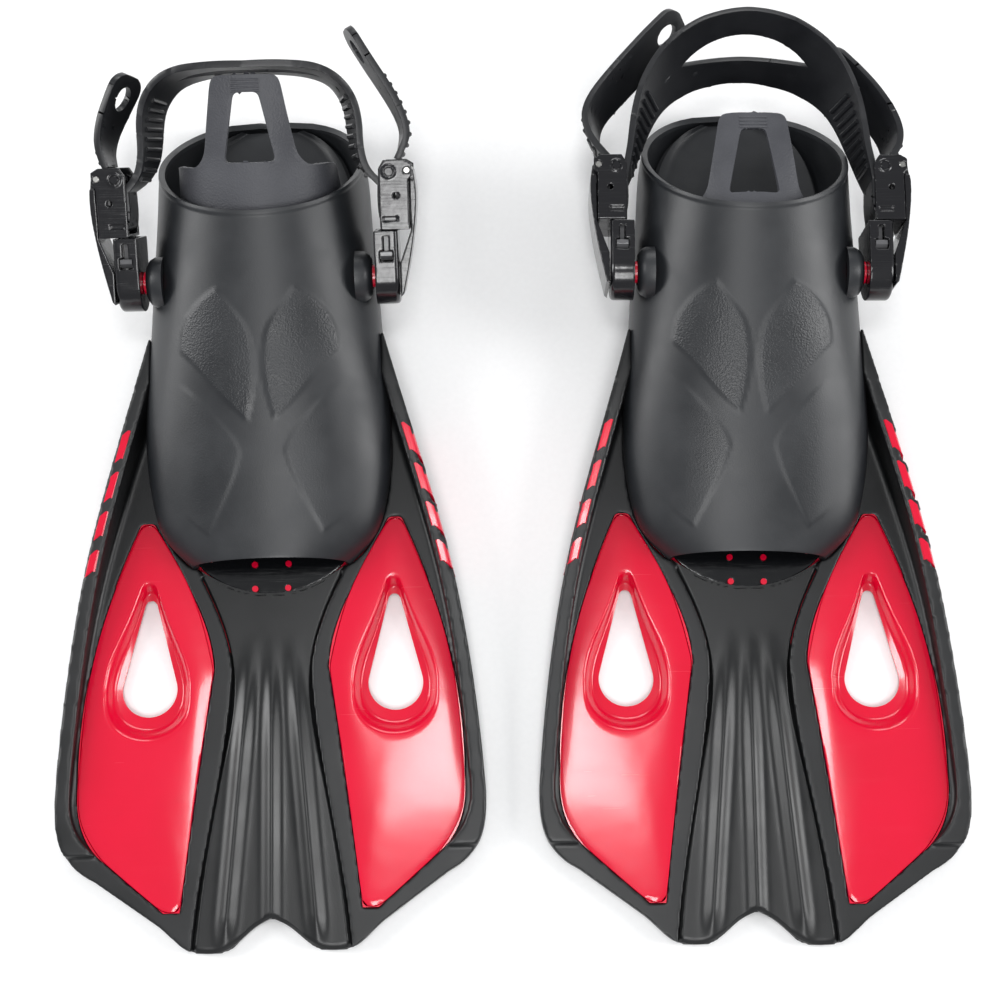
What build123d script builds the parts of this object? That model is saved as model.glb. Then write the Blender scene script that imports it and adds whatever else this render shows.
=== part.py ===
"""A pair of open-heel swim fins with quick-release buckle straps.

Each fin is drawn once in its own frame (toe tips at y = 0, heel towards +Y,
sole on z = 0) and then set down on the left or on the right.
"""

from build123d import *
from math import cos, radians, sin
import os

# ---- driving dimensions (mm) ------------------------------------------------
FIN_SPACING = 232.0         # between the two fins' centre lines at mid length
SPLAY = 1.0                 # degrees that each heel turns outwards
MID_LENGTH = 200.0          # the point of a fin that its spacing is measured at
Y_SHIFT = -224.025          # brings the middle of the whole pair to y = 0
X_SHIFT = 0.0

NOTCH_Y = 14.0              # depth of the notch between the two tip lobes
WEB_BOTTOM = 3.0            # underside of the blade web
WEB_TOP = 9.0               # top of the frame's web
PANEL_BOTTOM = 4.0
CHANNEL_TOP = 8.0
BACKING_TOP = 4.2           # top of the frame's thin backing under the channel
STRIP_INSET = 1.6           # the red strip lies this far inside the rail's side
STRIP_THICK = 2.4

SOLE_THICK = 6.0
WALL = 3.0                  # foot pocket wall
RIM_FRONT = (335.0, 84.0)   # y, z of the instep rim
RIM_BACK = (418.0, 8.0)     # y, z of the heel end of the rim
TONGUE_BEND = (335.0, 76.5)  # y, z where the tongue comes out over the rim
TOE_Y = 181.0               # front lip of the vamp
SIDE_LEVEL = 0.35           # the pocket is widest at this share of its height

LUG_Y, LUG_Z = 314.0, 50.0  # axis that the straps swing about
LUG_X = 56.0                # inner face of a swivel clip
POST_R = 4.0
RUNNING = 0.05              # radial clearance of every running fit

CLIP_THICK = 11.5
BUCKLE_HALF = 13.5          # half the width of a buckle
MOUTH_U = 22.0              # the clip ends here, the strap frame starts after a gap
GAP = 0.4
FRAME_END_U = 55.0
CHEEK = 2.0
CHEEK_LOW, CHEEK_HIGH = 3.5, 17.5
BAR_U, BAR_V, BAR_R = 30.0, 8.5, 2.3       # crossbar that the strap folds around
ROLLER_U, ROLLER_R = 49.5, 2.0
PIN_U, PIN_V, PIN_R = 50.0, 17.0, 1.5      # cam lever pivot

STRAP_THICK = 3.2
STRAP_WIDTH = 22.0

PINS = [(8.0, 170.3), (-8.0, 170.3), (8.2, 182.3), (-8.2, 182.3), (29.8, 186.0), (-29.8, 186.0)]

# points on the rail's outer side, beside the red strips, and the windows: start, length
STRIP_OUTER = [(90.0, 168), (82.0, 203), (72.4, 238), (65.9, 262)]
RAIL_WINDOWS = [(177, 9), (193, 12), (210, 14), (229, 15)]

# y, half width and height of the foot pocket at each station
POCKET_STATIONS = [
    (TOE_Y, 38.0, 29.0),
    (192.0, 49.0, 32.0),
    (208.0, 56.0, 37.0),
    (230.0, 59.5, 44.5),
    (255.0, 59.8, 53.5),
    (285.0, 57.5, 65.0),
    (315.0, 55.5, 76.0),
    (345.0, 53.2, 87.5),
    (385.0, 51.4, 103.0),
    (425.0, 50.4, 118.0),
]

# the two fins: side of the pair, swing of the straps, tongue slope and reach
FINS = {
    "left": dict(side=-1, swing=26.0, tongue_slope=30.0, tongue_reach=24.5),
    "right": dict(side=1, swing=4.0, tongue_slope=2.0, tongue_reach=8.0),
}
INSTEP_SLOPE = 21.0

# heel strap centre lines, seen along the strap's own plane with the lug axis at
# the origin: x, distance behind the lugs, lean of the band outwards, band width
HEEL_LOOPS = {
    "left": [
        (53.5, 50.5, 6, 22), (50.0, 58.0, 12, 22), (48.5, 70.0, 16, 23), (46.5, 82.0, 14, 27),
        (38.0, 93.5, 8, 36), (22.0, 98.5, 4, 43), (0.0, 99.5, 2, 45),
    ],
    "right": [
        (57.8, 53.0, 6, 22), (55.6, 61.0, 10, 22), (52.6, 73.0, 18, 23), (47.3, 88.0, 24, 27),
        (36.3, 103.0, 26, 36), (19.0, 113.5, 26, 43), (0.0, 117.0, 26, 45),
    ],
}
# free ends of the straps, from the buckle to the tip: x, distance, lean
TAILS = {
    ("left", "inner"): [
        (70.5, 60.5, 4), (72.0, 66.0, 8), (70.0, 76.0, 10), (65.0, 86.0, 12), (58.5, 96.5, 12),
        (51.5, 108.0, 12), (47.0, 116.0, 12),
    ],
    ("left", "outer"): [
        (69.8, 60.5, 4), (69.5, 68.0, 12), (66.0, 78.0, 20), (61.0, 88.0, 24), (56.0, 97.5, 26),
    ],
    ("right", "inner"): [
        (71.8, 60.5, 6), (75.0, 68.0, 14), (75.5, 77.0, 22), (69.0, 89.0, 28), (58.0, 102.0, 32),
        (45.0, 116.5, 34), (31.0, 131.0, 34),
    ],
    ("right", "outer"): [
        (70.8, 60.5, 6), (70.8, 68.0, 14), (66.0, 79.0, 22), (58.0, 90.5, 26), (48.5, 101.0, 28),
        (38.5, 111.0, 28),
    ],
}


# ---- shared outlines --------------------------------------------------------
def cross_plane(y):
    """Upright plane across the fin at y, with X to the right and Z up."""
    return Plane.XZ.offset(-y)


def blade_half():
    """Right half of the blade outline."""
    lobe = Spline((0, NOTCH_Y), (18, 1.6), (37, 0.0), (53, 12.5), tangents=((1, 0), (0.8, 0.6)))
    lower = Line(lobe @ 1, (83, 33.5))
    corner = Spline(lower @ 1, (95, 43), (101.2, 70), tangents=((0.9, 0.4), (0, 1)))
    side = Spline(corner @ 1, (96.5, 125), (87.5, 180), (73.5, 234), (57.5, 292))
    Line(side @ 1, (0, 292))


def between_rails():
    """Right half of the area inside the two rails."""
    front = Spline((0, 24), (60, 34), (88.5, 52), (94.2, 72))
    side = Spline(front @ 1, (89.5, 125), (80.5, 180), (66.5, 234), (50.5, 293))
    Line(side @ 1, (0, 293))


def panel_half():
    """Outline of the right blade panel: a kite with rounded corners."""
    outer = Spline((63.5, 204), (76, 172), (87, 130), (91.3, 80))
    heel = Spline(outer @ 1, (89.2, 58), (80, 43.5), tangents=((0.05, -1), (-0.75, -0.65)))
    lower = Spline(heel @ 1, (65, 30.5), (50, 18), tangents=((-0.75, -0.65), (-0.75, -0.66)))
    foot = Line(lower @ 1, (42.5, 18))
    inner = Spline(foot @ 1, (34.5, 82), (27.6, 131))
    Spline(inner @ 1, (36.5, 164), (57.5, 204), tangents=((0.05, 1), (0.5, 0.85)))
    Line((57.5, 204), (63.5, 204))


def plan(half_outline, *inputs):
    """Face of a symmetrical outline, from its right half."""
    with BuildSketch() as face:
        with BuildLine():
            half_outline(*inputs)
            mirror(about=Plane.YZ)
        make_face()
    return face.sketch


def channel_half():
    """Right half of the centre channel, flared at the toe tip and at the foot."""
    waist = Spline((37.5, -4), (33, 34), (24.5, 82), (19, 131))
    flare = Spline(waist @ 1, (24, 153), (36, 180), tangents=((0.1, 1), (0.45, 0.9)))
    Spline(flare @ 1, (18, 169.6), (0, 166.5), tangents=((-0.8, -0.6), (-1, 0)))
    Line((0, -4), (37.5, -4))


def drop_outline(centre_x, low_y, low_r, high_y, high_r):
    """Teardrop: the hull of a large and a small circle."""
    with Locations((centre_x, low_y)):
        Circle(low_r)
    with Locations((centre_x, high_y)):
        Circle(high_r)
    make_hull()


def pocket_section(half, height, floor=0.0):
    """Right half of the foot pocket's cross-section: round arch on a flat sole."""
    widest = SIDE_LEVEL * height
    foot = 0.84 * half
    arch = EllipticalCenterArc((0, widest), half, height - widest, arc_size=90)
    side = Spline((foot, floor), (0.965 * half, 0.4 * (widest - floor) + floor), arch @ 0,
                  tangents=((1, 0.45), (0, 1)))
    Line((0, floor), side @ 0)


def pocket_plan(inset=0.0):
    """Right half of a plan outline that rounds the heel end."""
    half = 62.0 - inset
    side = Line((half, 150), (half, 300))
    Spline(side @ 1, (53.5 - inset, 372), (40.5 - inset, 401), (0, RIM_BACK[0] - inset),
           tangents=((-0.05, 1), (-1, 0)))
    Line((0, 150), (half, 150))


def pocket_solid(inset, floor, reach=0.0):
    """Solid foot pocket, taken in on all sides by inset, reaching past its front lip."""
    with BuildPart() as body:
        for i, (y, half, height) in enumerate(POCKET_STATIONS):
            with BuildSketch(cross_plane(y - reach if i == 0 else y)):
                with BuildLine():
                    pocket_section(half - inset, height - inset, floor)
                    mirror(about=Plane.YZ)
                make_face()
        loft()
        with BuildSketch():
            add(plan(pocket_plan, inset))
        extrude(amount=150, mode=Mode.INTERSECT)
    return body.part


def sole_lip():
    """Right half of the sole's tongue that reaches forward under the open toe."""
    lip = Spline((0, 167.0), (20, 171.2), (36, 180.2), tangents=((1, 0), (0.8, 0.6)))
    Polyline(lip @ 1, (36, 184), (0, 184))


def rim_plane():
    """Slanted plane that cuts the foot pocket open."""
    run = RIM_BACK[0] - RIM_FRONT[0]
    drop = RIM_FRONT[1] - RIM_BACK[1]
    return Plane(origin=(0, *RIM_FRONT), x_dir=(1, 0, 0), z_dir=(0, drop, run))


# ---- the fin ----------------------------------------------------------------
def make_core():
    """Hard red core: panels, yoke and foot plate, rail strips, side arms with lugs."""
    with BuildPart() as core:
        for side in (1, -1):
            with BuildSketch(Plane.XY.offset(PANEL_BOTTOM)) as plate:
                with BuildLine():
                    panel_half()
                make_face()
                fillet(plate.vertices().group_by(Axis.Y)[-1], 2.4)
                if side < 0:
                    mirror(about=Plane.YZ, mode=Mode.REPLACE)
            extrude(amount=WEB_TOP + 0.4 - PANEL_BOTTOM)
            with BuildSketch(Plane.XY.offset(1.6)):
                drop_outline(59.6 * side, 122.0, 20.0, 168.0, 7.0)
            extrude(amount=PANEL_BOTTOM + 1.0 - 1.6)
        # thin yoke under the frame and the channel, and the plate under the foot
        with BuildSketch(Plane.XY.offset(WEB_BOTTOM)):
            with BuildLine():
                Polyline((0, 140), (32, 140), (58, 196), (44, 215), (44, 322), (0, 322))
                mirror(about=Plane.YZ)
            make_face()
        extrude(amount=2.2)
        with Locations(*[(x, y, WEB_BOTTOM + 2.2) for x, y in PINS]):
            Cylinder(1.5, 3.6, align=(Align.CENTER, Align.CENTER, Align.MIN))
        # side arms from the foot plate up to the lug posts
        for side in (1, -1):
            with Locations((side * 46.0, LUG_Y, WEB_BOTTOM)):
                Box(9.0, 14.0, 2.2, align=(Align.CENTER, Align.CENTER, Align.MIN))
            with Locations((side * 49.4, LUG_Y, WEB_BOTTOM)):
                Box(2.4, 14.0, LUG_Z - WEB_BOTTOM, align=(Align.CENTER, Align.CENTER, Align.MIN))
            with Locations(Location((side * 49.4, LUG_Y, LUG_Z), (0, 90, 0))):
                Cylinder(7.0, 2.4)
            with Locations(Location((side * 48.2, LUG_Y, LUG_Z), (0, side * 90, 0))):
                Cylinder(5.4, LUG_X - 0.3 - 48.2, align=(Align.CENTER, Align.CENTER, Align.MIN))
                Cylinder(POST_R, LUG_X + 9.6 - 48.2, align=(Align.CENTER, Align.CENTER, Align.MIN))
        # strips behind the rail windows
        for side in (1, -1):
            with BuildSketch(Plane.XY.offset(WEB_BOTTOM + 1.0)):
                with BuildLine():
                    outer = Spline(*[(x - STRIP_INSET, y) for x, y in STRIP_OUTER])
                    inner = Spline(*[(x - STRIP_INSET - STRIP_THICK, y) for x, y in STRIP_OUTER])
                    Line(outer @ 0, inner @ 0)
                    Line(outer @ 1, inner @ 1)
                make_face()
                if side < 0:
                    mirror(about=Plane.YZ, mode=Mode.REPLACE)
            extrude(amount=17.0)
            with Locations((side * 66.0, 205.0, WEB_BOTTOM)):
                Box(30.0, 12.0, 2.2, align=(Align.CENTER, Align.CENTER, Align.MIN))
        # the vents: a funnel that sinks to a teardrop hole
        for side in (1, -1):
            with BuildSketch(Plane.XY.offset(WEB_TOP + 0.4)):
                drop_outline(59.6 * side, 122.0, 19.0, 168.0, 6.0)
            with BuildSketch(Plane.XY.offset(3.2)):
                drop_outline(59.2 * side, 123.2, 13.2, 164.0, 3.0)
            loft(mode=Mode.SUBTRACT)
            with BuildSketch(Plane.XY.offset(-1)):
                drop_outline(59.2 * side, 123.2, 13.0, 164.0, 2.9)
            extrude(amount=12, mode=Mode.SUBTRACT)
    return core.part


def make_channel(core):
    """Centre channel: a flexible web with three ridges, laid on the frame's backing."""
    with BuildPart() as channel:
        with BuildSketch(Plane.XY.offset(BACKING_TOP)):
            add(plan(channel_half))
            add(plan(blade_half), mode=Mode.INTERSECT)
        extrude(amount=CHANNEL_TOP - BACKING_TOP)
        with BuildSketch(Plane.XY.offset(CHANNEL_TOP - 1)):
            with Locations((0, 78)):
                SlotOverall(118, 6.0, rotation=90)
            for side in (1, -1):
                with Locations((side * 16.0, 73)):
                    SlotOverall(118, 6.0, rotation=90 + side * 4.8)
        extrude(amount=4.0)
        add(core, mode=Mode.SUBTRACT)
    return channel.part


def make_pocket(core, footbed):
    """Soft foot pocket: sole, vamp and heel end in one shell."""
    with BuildPart() as pocket:
        add(pocket_solid(0.0, 0.0))
        # cheeks that cover the side arms
        for side in (1, -1):
            with Locations((side * 50.0, LUG_Y, 30.0)):
                Box(6.4, 20.0, 56.0)
        add(pocket_solid(WALL, SOLE_THICK, reach=3.0), mode=Mode.SUBTRACT)
        split(bisect_by=rim_plane(), keep=Keep.BOTTOM)
        # tongue of the sole that reaches forward under the open toe
        with BuildSketch():
            add(plan(sole_lip))
        extrude(amount=SOLE_THICK)
        add(core, mode=Mode.SUBTRACT)
        add(footbed, mode=Mode.SUBTRACT)
    return pocket.part


def make_footbed(core):
    """Insole plate, held down by the core's pins."""
    with BuildPart() as footbed:
        with BuildSketch(Plane.XY.offset(SOLE_THICK)):
            with BuildLine():
                front = ThreePointArc((-30, 177.6), (0, 168.0), (30, 177.6))
                side = Spline(front @ 1, (43, 195), (47, 225), (45, 262))
                end = ThreePointArc(side @ 1, (0, 272), (-45, 262))
                Spline(end @ 1, (-47, 225), (-43, 195), front @ 0)
            make_face()
        extrude(amount=1.8)
        add(core, mode=Mode.SUBTRACT)
    return footbed.part


def rail_profile():
    """Side view of the rails: low at the tip, highest beside the foot."""
    with BuildPart() as profile:
        with BuildSketch(Plane.YZ.offset(-120)):
            with BuildLine():
                top = Spline((30, 9.4), (60, 13.5), (130, 18), (200, 26), (250, 31), (293, 33))
                Polyline(top @ 1, (293, 0), (30, 0), top @ 0)
            make_face()
        extrude(amount=240)
    return profile.part


def window_cutter():
    """Four slanting windows in the outer skin of each rail, down to the red strip."""
    with BuildPart() as cutter:
        with BuildSketch(Plane.YZ.offset(-120)):
            for start, length in RAIL_WINDOWS:
                with BuildLine():
                    Polyline((start, 7), (start + length, 7), (start + length - 6, 40),
                             (start - 6, 40), close=True)
                make_face()
        extrude(amount=240)
        with BuildSketch():
            with BuildLine():
                skin = Spline(*[(x - STRIP_INSET, y) for x, y in STRIP_OUTER])
                Polyline(skin @ 1, (110, 262), (110, 166), skin @ 0)
                mirror(about=Plane.YZ)
            make_face()
        extrude(amount=40, mode=Mode.INTERSECT)
    return cutter.part


def make_frame(core, footbed):
    """Overmoulded frame: a web round the panels, and the two side rails."""
    with BuildPart() as rails:
        with BuildSketch():
            add(plan(blade_half))
            add(plan(between_rails), mode=Mode.SUBTRACT)
            Rectangle(220, 90, mode=Mode.SUBTRACT)
        extrude(amount=40)
        add(rail_profile(), mode=Mode.INTERSECT)
    with BuildPart() as frame:
        with BuildSketch(Plane.XY.offset(WEB_BOTTOM)):
            add(plan(blade_half))
        extrude(amount=WEB_TOP - WEB_BOTTOM)
        add(rails.part)
        add(window_cutter(), mode=Mode.SUBTRACT)
        add(core, mode=Mode.SUBTRACT)
        for side in (1, -1):
            with BuildSketch():
                drop_outline(59.6 * side, 122.0, 20.0, 168.0, 7.0)
            extrude(amount=12, mode=Mode.SUBTRACT)
        # the channel lies in an open tray with a thin backing
        with BuildSketch(Plane.XY.offset(BACKING_TOP)):
            add(plan(channel_half))
        extrude(amount=12, mode=Mode.SUBTRACT)
        add(pocket_solid(0.0, 0.0), mode=Mode.SUBTRACT)
        # open crescent in front of the toe opening, where the insole shows
        with BuildSketch():
            add(plan(sole_lip))
        extrude(amount=14, mode=Mode.SUBTRACT)
        add(footbed, mode=Mode.SUBTRACT)
    return frame.part


def tongue_arch(slope, start, end):
    """Length of the tongue's arched sheet, along a slope up towards the heel."""
    run = (0, cos(radians(slope)), sin(radians(slope)))
    begin = (0, TONGUE_BEND[0] + start * run[1], TONGUE_BEND[1] + start * run[2])
    with BuildPart() as arch:
        with BuildSketch(Plane(origin=begin, x_dir=(-1, 0, 0), z_dir=run)):
            with Locations((0, -41.5)):
                Circle(42.0)
                Circle(40.0, mode=Mode.SUBTRACT)
            with Locations((0, -78)):
                Rectangle(100, 60, mode=Mode.SUBTRACT)
        extrude(amount=end - start)
    return arch.part


def make_tongue(slope, reach):
    """Loose instep tongue: an arched sheet that ends in a pull tab with a window."""
    tab = reach + 42.0
    middle = radians((INSTEP_SLOPE + slope) / 2)
    mitre = Plane(origin=(0, *TONGUE_BEND), x_dir=(1, 0, 0), z_dir=(0, cos(middle), sin(middle)))
    across = Plane(
        origin=(0, *TONGUE_BEND),
        x_dir=(1, 0, 0),
        z_dir=(0, -sin(radians(slope)), cos(radians(slope))),
    )
    with BuildPart() as upper:
        add(tongue_arch(slope, -20.0, tab))
        split(bisect_by=mitre, keep=Keep.TOP)
        with BuildSketch(across.offset(-60)) as outline:
            with Locations((0, reach / 2 - 15)):
                Rectangle(100, reach + 30)
            with BuildLine():
                Polyline((-22, reach - 1), (-15.8, tab - 1), (15.8, tab - 1), (22, reach - 1), close=True)
            make_face()
            fillet(outline.vertices().group_by(Axis.Y)[-1], 5)
            with BuildLine():
                Polyline((-12.2, reach + 0.5), (-5.8, reach + 33), (5.8, reach + 33),
                         (12.2, reach + 0.5), close=True)
            make_face(mode=Mode.SUBTRACT)
        extrude(amount=90, mode=Mode.INTERSECT)
    with BuildPart() as tongue:
        add(tongue_arch(INSTEP_SLOPE, -58.0, 20.0))
        split(bisect_by=mitre, keep=Keep.BOTTOM)
        add(upper.part)
    return tongue.part


# ---- buckles: the lug axis is X, the strap leaves along +Y ------------------
def make_clip():
    """Swivel clip: socket for the strap frame, with T-shaped windows for the prongs."""
    with BuildPart() as clip:
        with BuildSketch(Plane.YZ):
            Circle(BUCKLE_HALF)
            with Locations((MOUTH_U / 2, 0)):
                Rectangle(MOUTH_U, 2 * BUCKLE_HALF)
        extrude(amount=CLIP_THICK)
        fillet(clip.faces().sort_by(Axis.X)[-1].edges().filter_by(GeomType.CIRCLE), 2.0)
        with Locations((5.8, MOUTH_U, 0)):
            Box(6.8, 31.0, 21.4, mode=Mode.SUBTRACT)
        with Locations((5.8, 10.15, 0)):
            Box(6.4, 5.3, 40, mode=Mode.SUBTRACT)
        with Locations((5.8, 15.0, 0)):
            Box(2.8, 9.0, 40, mode=Mode.SUBTRACT)
        with Locations(Location((0, 0, 0), (0, 90, 0))):
            Cylinder(POST_R + RUNNING, 60, mode=Mode.SUBTRACT)
        with Locations(Location((9.3, 0, 0), (0, 90, 0))):
            Cylinder(6.6, 10, align=(Align.CENTER, Align.CENTER, Align.MIN), mode=Mode.SUBTRACT)
    return clip.part


def make_cap():
    """Cap pressed on the lug post, sunk into the clip's face."""
    with BuildPart() as cap:
        with Locations(Location((9.6, 0, 0), (0, 90, 0))):
            Cylinder(6.2, 1.7, align=(Align.CENTER, Align.CENTER, Align.MIN))
        fillet(cap.faces().sort_by(Axis.X)[-1].edges(), 0.8)
    return cap.part


def make_strap_frame():
    """Strap frame: two cheeks, a crossbar to fold the strap on and a plug for the clip."""
    start = MOUTH_U + GAP
    with BuildPart() as frame:
        for side in (1, -1):
            with BuildSketch(Plane.XY.offset(side * (BUCKLE_HALF - CHEEK / 2) - CHEEK / 2)):
                with BuildLine():
                    Polyline((CHEEK_LOW, start), (CHEEK_HIGH, start), (CHEEK_HIGH, 45.5),
                             (PIN_V + 2.4, 47.5), (PIN_V + 2.4, 53), (CHEEK_HIGH - 1.5, FRAME_END_U),
                             (CHEEK_LOW + 2.5, FRAME_END_U), (CHEEK_LOW, 51), close=True)
                make_face()
            extrude(amount=CHEEK)
        with Locations(((CHEEK_LOW + CHEEK_HIGH) / 2, start + 0.75, 0)):
            Box(CHEEK_HIGH - CHEEK_LOW, 1.5, 2 * BUCKLE_HALF - CHEEK)
        with Locations((BAR_V, BAR_U, 0)):
            Cylinder(BAR_R, 2 * BUCKLE_HALF - CHEEK)
        with Locations((5.8, 15.6, 0)):
            Box(4.4, 14.0, 9.6)
        # raised bosses round the roller's ends, latch notches in the cheeks
        with Locations((BAR_V, ROLLER_U, 0)):
            Cylinder(3.0, 2 * BUCKLE_HALF + 0.8)
            Cylinder(3.6, 2 * (BUCKLE_HALF - CHEEK), mode=Mode.SUBTRACT)
            Cylinder(ROLLER_R + 0.03, 40, mode=Mode.SUBTRACT)
        with Locations((PIN_V, PIN_U, 0)):
            Cylinder(PIN_R + 0.02, 40, mode=Mode.SUBTRACT)
        with Locations((11.5, 38.5, 0)):
            Cylinder(1.4, 40, mode=Mode.SUBTRACT)
        for side in (1, -1):
            with Locations((8.5, 27.6, side * BUCKLE_HALF)):
                Box(7.0, 2.6, 1.6, mode=Mode.SUBTRACT)
    return frame.part


def make_prong():
    """Upper release prong: a spring arm with a barb that snaps into the clip's window."""
    with BuildPart() as prong:
        with BuildSketch(Plane.YZ.offset(4.8)):
            with BuildLine():
                Polyline((9, 7.6), (22.1, 7.6), (22.1, 9.6), (9, 9.6), close=True)
            make_face()
        extrude(amount=2.0)
        with BuildSketch(Plane.YZ.offset(3.0)):
            with BuildLine():
                Polyline((8.0, 7.6), (12.4, 7.6), (12.4, 12.7), (10.2, 12.7), (8.0, 9.8), close=True)
            make_face()
        extrude(amount=5.6)
        fillet(prong.edges().filter_by(Axis.X).group_by(Axis.Z)[-1], 0.5)
    return prong.part


def make_lever():
    """Cam lever: a long cover plate over the buckle, with a hub on the pivot pin."""
    with BuildPart() as lever:
        with BuildSketch(Plane.XY.offset(-12.4)):
            with BuildLine():
                back = Spline((19.2, 52.6), (20.9, 43), (20.2, 27), (17.3, 9), (13.6, -8))
                tip = Line(back @ 1, (12.0, -9.5))
                Polyline(tip @ 1, (12.0, 6), (17.9, 22.0), (17.9, 46.4), (16.8, 52.6), back @ 0)
            make_face()
        extrude(amount=24.8)
        with Locations((PIN_V, PIN_U, 0)):
            Box(20, 9.4, 40, mode=Mode.SUBTRACT)
        with BuildSketch(Plane.XY.offset(-11.1)):
            with BuildLine():
                Polyline((17.9, 44.0), (20.8, 44.0), (20.0, 50.0), (17.0, 52.6), (15.6, 49.0), close=True)
            make_face()
            with Locations((PIN_V, PIN_U)):
                Circle(2.45)
        extrude(amount=22.2)
        with Locations((PIN_V - 3, PIN_U, 0)):
            Box(11.6, 6.0, 6.0, mode=Mode.SUBTRACT)
        with Locations((PIN_V, PIN_U, 0)):
            Cylinder(PIN_R + RUNNING, 40, mode=Mode.SUBTRACT)
    return lever.part


def make_lever_spring():
    """Torsion spring round the pivot pin, in the gap of the lever's hub."""
    with BuildPart() as spring:
        with BuildLine() as coil:
            Helix(1.1, 4.4, 2.1, center=(PIN_V, PIN_U, -2.2))
        with BuildSketch(coil.line ^ 0):
            Circle(0.35)
        sweep(is_frenet=True)
    return spring.part


def make_pin(u, v, radius, half):
    """Plain pin across the buckle, with chamfered ends."""
    with BuildPart() as pin:
        with Locations((v, u, 0)):
            Cylinder(radius, 2 * half)
        chamfer(pin.edges().filter_by(GeomType.CIRCLE), 0.25)
    return pin.part


# ---- straps, in the plane of the buckles with the lug axis at the origin ----
def station_plane(stations, i):
    """Plane across a band at one station: x through its thickness, y along its width."""
    points = [Vector(x, y, 0) for x, y, lean, width in stations]
    x, _, lean, _ = stations[i]
    run = (points[min(i + 1, len(points) - 1)] - points[max(i - 1, 0)]).normalized()
    outward = Vector(run.Y, -run.X, 0)
    if outward.X * x < 0 or (abs(x) < 1 and outward.Y < 0):
        outward = -outward
    tilt = radians(lean)
    thin = outward * cos(tilt) - Vector(0, 0, 1) * sin(tilt)
    return Plane(origin=points[i], x_dir=thin, z_dir=run)


def band(stations):
    """Rubber band through stations (x, y, lean, width), each a slim rectangle."""
    with BuildPart() as strip:
        for i, station in enumerate(stations):
            with BuildSketch(station_plane(stations, i)):
                Rectangle(STRAP_THICK, station[3])
        loft(ruled=True)
    return strip.part


def finger_hole(stations):
    """Cutter for the finger hole near the free end of a band."""
    tip = station_plane(stations, len(stations) - 1)
    with BuildPart() as hole:
        with BuildSketch(Plane(origin=tip.origin - tip.z_dir * 11.5, x_dir=tip.z_dir, z_dir=tip.x_dir)):
            SlotOverall(13.0, 10.5)
        extrude(amount=6, both=True)
    return hole.part


def fold_stations(side):
    """The strap's fold round the frame's crossbar, from the inner run to the free end."""
    centre_x = LUG_X + BAR_V
    reach = BAR_R + 0.15 + STRAP_THICK / 2
    stations = [(side * (centre_x - reach), BAR_U + 14, 0, STRAP_WIDTH)]
    for i in range(9):
        turn = radians(180 + 22.5 * i)
        stations.append((side * (centre_x + reach * cos(turn)), BAR_U + reach * sin(turn), 0, STRAP_WIDTH))
    stations.append((side * (centre_x + reach), FRAME_END_U, 0, STRAP_WIDTH))
    return stations


def make_strap(fin):
    """Heel strap of one fin: heel loop, folds through both buckles and free ends."""
    half_loop = HEEL_LOOPS[fin]
    other_half = [(-x, y, lean, width) for x, y, lean, width in reversed(half_loop[:-1])]
    side_of = {"inner": -FINS[fin]["side"], "outer": FINS[fin]["side"]}
    right_end = fold_stations(1)[0]
    left_end = fold_stations(-1)[0]
    with BuildPart() as strap:
        add(band([right_end] + half_loop + other_half + [left_end]))
        # lens-shaped slot that splits the heel cup into two bands
        with BuildSketch(Plane.XZ.offset(-60)):
            with BuildLine():
                ThreePointArc((-33, 0), (0, 7.5), (33, 0))
                ThreePointArc((-33, 0), (0, -7.5), (33, 0))
            make_face()
        extrude(amount=-80, mode=Mode.SUBTRACT)
        for name, side in side_of.items():
            add(band(fold_stations(side)))
            tail = [(side * x, y, lean, STRAP_WIDTH) for x, y, lean in TAILS[fin, name]]
            add(band(fold_stations(side)[-1:] + tail))
            add(finger_hole(tail), mode=Mode.SUBTRACT)
    return strap.part


# ---- setting the pieces down ------------------------------------------------
def set_down(shape, fin):
    """Move a piece from its fin's own frame to its place in the pair."""
    side = FINS[fin]["side"]
    middle = Location((0, -MID_LENGTH, 0))
    where = (side * FIN_SPACING / 2 + X_SHIFT, MID_LENGTH + Y_SHIFT, 0)
    return Location(where, (0, 0, -side * SPLAY)) * middle * shape


def hang(shape, fin):
    """Swing a piece of the strap or of a buckle about the lug axis, and set it down."""
    swung = Location((0, LUG_Y, LUG_Z), (FINS[fin]["swing"], 0, 0)) * shape
    return set_down(swung, fin)


def write(name, shape):
    """Label one finished piece and write it to its own STEP file."""
    with BuildPart() as piece:
        add(shape)
    piece.part.label = name
    export_step(piece.part, f"parts/{name}.step")


os.makedirs("parts", exist_ok=True)

core = make_core()
footbed = make_footbed(core)
channel = make_channel(core)
pocket = make_pocket(core, footbed)
frame = make_frame(core, footbed)

prong = make_prong()
buckle = {
    "swivel_clip": make_clip(),
    "lug_cap": make_cap(),
    "strap_frame": make_strap_frame(),
    "upper_prong": prong,
    "lower_prong": mirror(prong, about=Plane.XY),
    "cam_lever": make_lever(),
    "lever_pin": make_pin(PIN_U, PIN_V, PIN_R, BUCKLE_HALF),
    "lever_spring": make_lever_spring(),
    "strap_roller": make_pin(ROLLER_U, BAR_V, ROLLER_R, BUCKLE_HALF + 0.4),
}

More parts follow.
